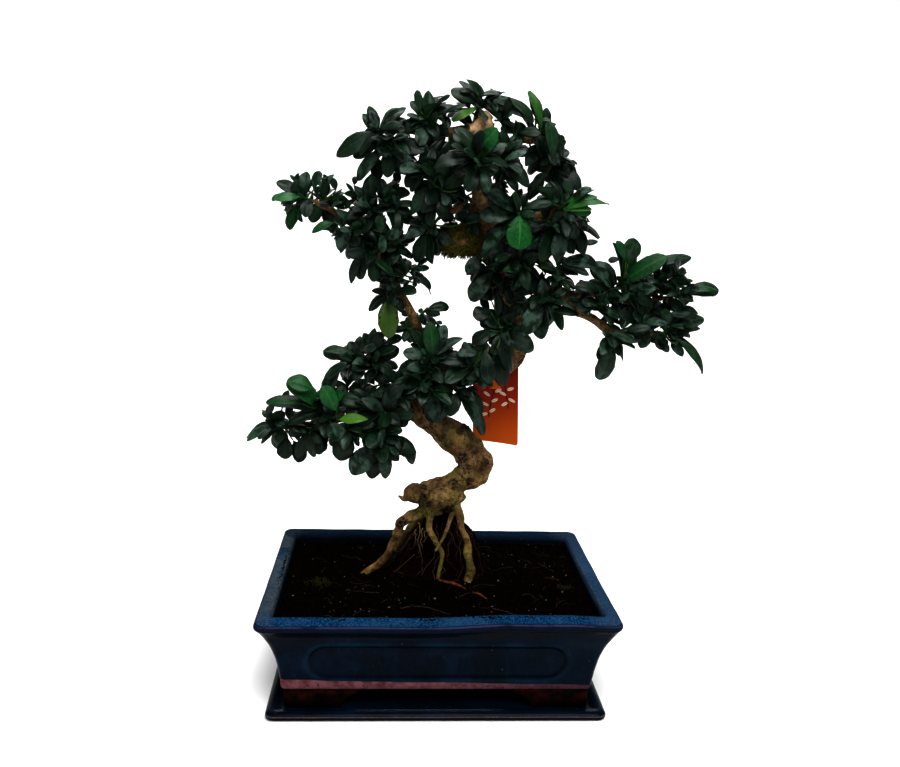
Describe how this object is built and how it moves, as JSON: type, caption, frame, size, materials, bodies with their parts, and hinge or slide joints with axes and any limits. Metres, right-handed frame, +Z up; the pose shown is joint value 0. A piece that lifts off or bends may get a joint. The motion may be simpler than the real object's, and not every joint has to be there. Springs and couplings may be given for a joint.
{
  "type": "potted bonsai tree",
  "caption": "Small fukien tea bonsai: an S-shaped leafy tree standing on bare roots in a glazed rectangular pot on its matching saucer, with a plant label.",
  "frame": {"origin": "middle of the saucer's flat underside, which is the surface the object stands on", "axes": "+Z up, +X to the right along the pot's long side, +Y towards the back as the picture sees it"},
  "size_m": [0.36, 0.1999, 0.4533],
  "materials": {
    "glaze_saucer": "dark navy glaze, glossy",
    "glaze_pot": "mottled navy glaze, glossy",
    "soil": "loose damp compost, matte",
    "bark": "fine-grained bark, matte",
    "label": "satin printed plastic",
    "leaf": "waxy leaf, satin"
  },
  "bodies": {
    "root": {"saucer": "glaze_saucer", "pot": "glaze_pot", "soil": "soil", "wood": "bark", "label": "label", "shoot_01": "leaf", "shoot_02": "leaf", "shoot_03": "leaf", "shoot_04": "leaf", "shoot_05": "leaf", "shoot_06": "leaf", "shoot_07": "leaf", "shoot_08": "leaf", "shoot_09": "leaf", "shoot_10": "leaf", "shoot_11": "leaf", "shoot_12": "leaf", "shoot_13": "leaf", "shoot_14": "leaf", "shoot_15": "leaf", "shoot_16": "leaf", "shoot_17": "leaf", "shoot_18": "leaf", "shoot_19": "leaf", "shoot_20": "leaf", "shoot_21": "leaf", "shoot_22": "leaf", "shoot_23": "leaf", "shoot_24": "leaf", "shoot_25": "leaf", "shoot_26": "leaf", "shoot_27": "leaf", "shoot_28": "leaf", "shoot_29": "leaf", "shoot_30": "leaf", "shoot_31": "leaf", "shoot_32": "leaf", "shoot_33": "leaf", "shoot_34": "leaf", "shoot_35": "leaf", "shoot_36": "leaf", "shoot_37": "leaf", "shoot_38": "leaf", "shoot_39": "leaf", "shoot_40": "leaf", "shoot_41": "leaf", "shoot_42": "leaf", "shoot_43": "leaf", "shoot_44": "leaf", "shoot_45": "leaf", "shoot_46": "leaf", "shoot_47": "leaf", "shoot_48": "leaf", "shoot_49": "leaf", "shoot_50": "leaf", "shoot_51": "leaf", "shoot_52": "leaf", "shoot_53": "leaf", "shoot_54": "leaf", "shoot_55": "leaf"}
  },
  "joints": []
}
